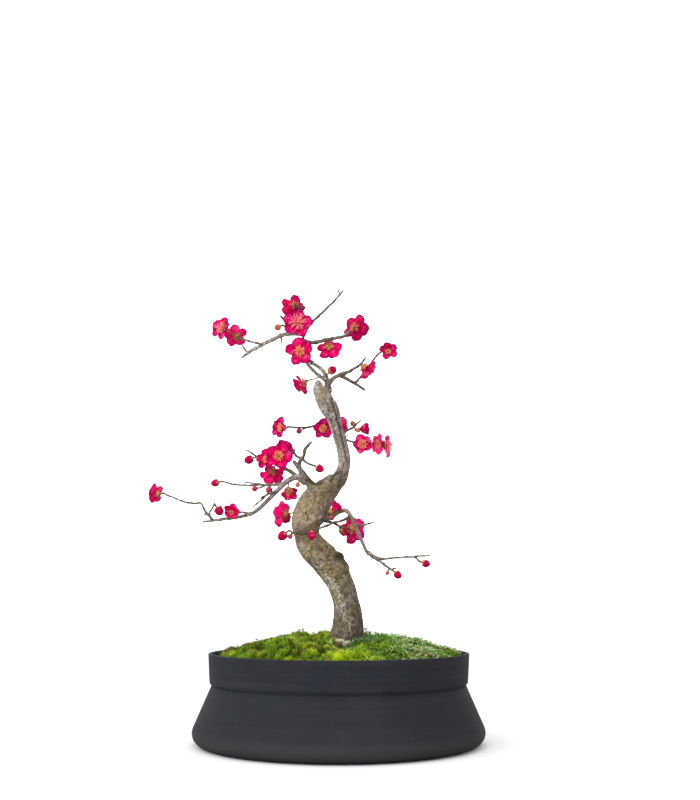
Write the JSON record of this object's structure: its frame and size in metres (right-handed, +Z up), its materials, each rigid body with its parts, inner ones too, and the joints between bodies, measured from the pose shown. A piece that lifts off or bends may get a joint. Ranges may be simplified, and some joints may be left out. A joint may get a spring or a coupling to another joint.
{
  "type": "flowering plum bonsai in a round pot",
  "caption": "Crooked-trunk flowering bonsai with crimson five-petalled blooms and buds on thin twigs, in a round charcoal stoneware pot filled with soil and moss.",
  "frame": {"origin": "centre of the pot's flat underside, on the ground", "axes": "+Z up along the pot's axis; +X to the right and +Y away, seen from the front of the tree"},
  "size_m": [0.2772, 0.2374, 0.3882],
  "materials": {
    "pot": "matt charcoal stoneware with faint turning lines",
    "soil": "dark crumbly potting soil",
    "moss": "cushion moss with short grass",
    "wood": "grey-brown bark with pale lichen patches",
    "petals": "thin satin crimson petals",
    "stamens": "pale pink filaments with yellow anthers",
    "buds": "closed crimson petals",
    "screen": "black drainage mesh"
  },
  "bodies": {
    "root": {"bloom_01_petals": "petals", "bloom_01_stamens": "stamens", "bloom_02_petals": "petals", "bloom_03_petals": "petals", "bloom_04_petals": "petals", "bloom_04_stamens": "stamens", "bloom_05_petals": "petals", "bloom_05_stamens": "stamens", "bloom_06_petals": "petals", "bloom_07_petals": "petals", "bloom_08_petals": "petals", "bloom_08_stamens": "stamens", "bloom_09_petals": "petals", "bloom_09_stamens": "stamens", "bloom_10_petals": "petals", "bloom_10_stamens": "stamens", "bloom_11_petals": "petals", "bloom_11_stamens": "stamens", "bloom_12_petals": "petals", "bloom_12_stamens": "stamens", "bloom_13_petals": "petals", "bloom_14_petals": "petals", "bloom_15_petals": "petals", "bloom_15_stamens": "stamens", "bloom_16_petals": "petals", "bloom_16_stamens": "stamens", "bloom_17_petals": "petals", "bloom_17_stamens": "stamens", "bloom_18_petals": "petals", "bloom_18_stamens": "stamens", "bloom_19_petals": "petals", "bloom_19_stamens": "stamens", "bloom_20_petals": "petals", "bloom_21_petals": "petals", "bloom_21_stamens": "stamens", "bloom_22_petals": "petals", "bloom_22_stamens": "stamens", "bloom_23_petals": "petals", "bloom_23_stamens": "stamens", "bloom_24_petals": "petals", "bloom_24_stamens": "stamens", "bloom_25_petals": "petals", "bloom_26_petals": "petals", "bloom_27_petals": "petals", "bud_02_petals": "buds", "bud_04_petals": "buds", "bud_05_petals": "buds", "bud_06_petals": "buds", "bud_09_petals": "buds", "bud_10_petals": "buds", "bud_12_petals": "buds", "bud_14_petals": "buds", "bud_16_petals": "buds", "drainage_screen_1": "screen", "drainage_screen_2": "screen", "moss": "moss", "pot": "pot", "soil": "soil", "tree": "wood"}
  },
  "joints": []
}
